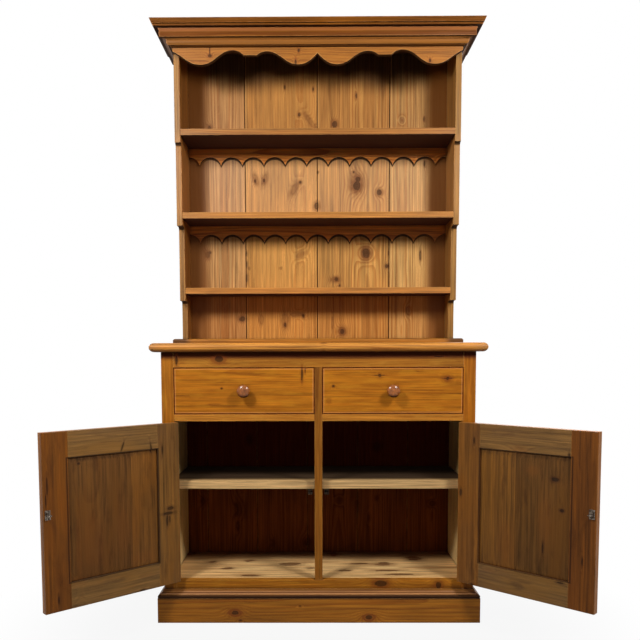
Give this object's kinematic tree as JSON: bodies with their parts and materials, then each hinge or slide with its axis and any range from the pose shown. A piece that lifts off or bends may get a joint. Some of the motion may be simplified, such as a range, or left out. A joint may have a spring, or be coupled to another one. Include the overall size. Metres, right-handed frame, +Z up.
{
  "type": "dresser",
  "caption": "Tall pine dresser: stepped open plate rack with moulded cornice, waved frieze and scalloped strips, on a base with drawers over an open panelled cupboard.",
  "frame": {"origin": "middle of the underside of the front plinth board, on the floor, half way through the board's thickness", "axes": "+Z up from the floor to the cornice, -Y out of the front, +X to the right of someone who faces the front"},
  "size_m": [1.6412, 0.713, 2.0135],
  "materials": {
    "catch_steel": "satin",
    "hinge_iron": "dark oxidised",
    "pine_bare": "bare",
    "pine_base_back": "dark unwaxed",
    "pine_cornice": "waxed",
    "pine_door": "waxed",
    "pine_rack_back": "waxed",
    "pine_turned": "waxed",
    "pine_waxed": "waxed"
  },
  "bodies": {
    "carcass": {"base_back_boards": "pine_base_back", "base_side_left": "pine_waxed", "base_side_right": "pine_waxed", "bottom_rail": "pine_waxed", "catches": "catch_steel", "cornice_front": "pine_cornice", "cornice_left": "pine_cornice", "cornice_right": "pine_cornice", "cupboard_floor": "pine_bare", "cupboard_shelf": "pine_bare", "drawer_rails": "pine_waxed", "drawer_runners": "pine_bare", "frieze": "pine_waxed", "hinge_frame_leaves": "hinge_iron", "hinge_pins": "hinge_iron", "muntin": "pine_waxed", "plinth_front": "pine_waxed", "plinth_left": "pine_waxed", "plinth_mouldings": "pine_waxed", "plinth_right": "pine_waxed", "rack_back_boards": "pine_rack_back", "rack_riser": "pine_waxed", "rack_side_left": "pine_waxed", "rack_side_right": "pine_waxed", "rack_top_board": "pine_waxed", "scallop_strip_middle": "pine_waxed", "scallop_strip_upper": "pine_waxed", "shelf_battens": "pine_bare", "shelf_lower": "pine_waxed", "shelf_middle": "pine_waxed", "shelf_upper": "pine_waxed", "stile_left": "pine_waxed", "stile_right": "pine_waxed", "top_rail": "pine_waxed", "worktop": "pine_waxed"},
    "left_drawer": {"left_drawer_back": "pine_bare", "left_drawer_bottom": "pine_bare", "left_drawer_front": "pine_waxed", "left_drawer_knob": "pine_turned", "left_drawer_sides": "pine_bare"},
    "right_drawer": {"right_drawer_back": "pine_bare", "right_drawer_bottom": "pine_bare", "right_drawer_front": "pine_waxed", "right_drawer_knob": "pine_turned", "right_drawer_sides": "pine_bare"},
    "left_door": {"left_door_hinge_stile": "pine_door", "left_door_knob": "pine_turned", "left_door_lock_stile": "pine_door", "left_door_panel": "pine_door", "left_door_rails": "pine_door", "left_door_strike": "catch_steel", "left_hinge_door_leaves": "hinge_iron"},
    "right_door": {"right_door_hinge_stile": "pine_door", "right_door_knob": "pine_turned", "right_door_lock_stile": "pine_door", "right_door_panel": "pine_door", "right_door_rails": "pine_door", "right_door_strike": "catch_steel", "right_hinge_door_leaves": "hinge_iron"}
  },
  "joints": [
    {"name": "left_drawer_slide", "type": "slide", "parent": "carcass", "child": "left_drawer", "axis": [0, -1, 0], "range_m": [0, 0.25]},
    {"name": "right_drawer_slide", "type": "slide", "parent": "carcass", "child": "right_drawer", "axis": [0, -1, 0], "range_m": [0, 0.25]},
    {"name": "left_door_hinge", "type": "hinge", "parent": "carcass", "child": "left_door", "pos_m": [-0.47765, 0.0067, 0.38], "axis": [0, 0, 1], "range_deg": [-38, 136.7]},
    {"name": "right_door_hinge", "type": "hinge", "parent": "carcass", "child": "right_door", "pos_m": [0.47765, 0.0067, 0.38], "axis": [0, 0, 1], "range_deg": [-136.7, 38]}
  ]
}
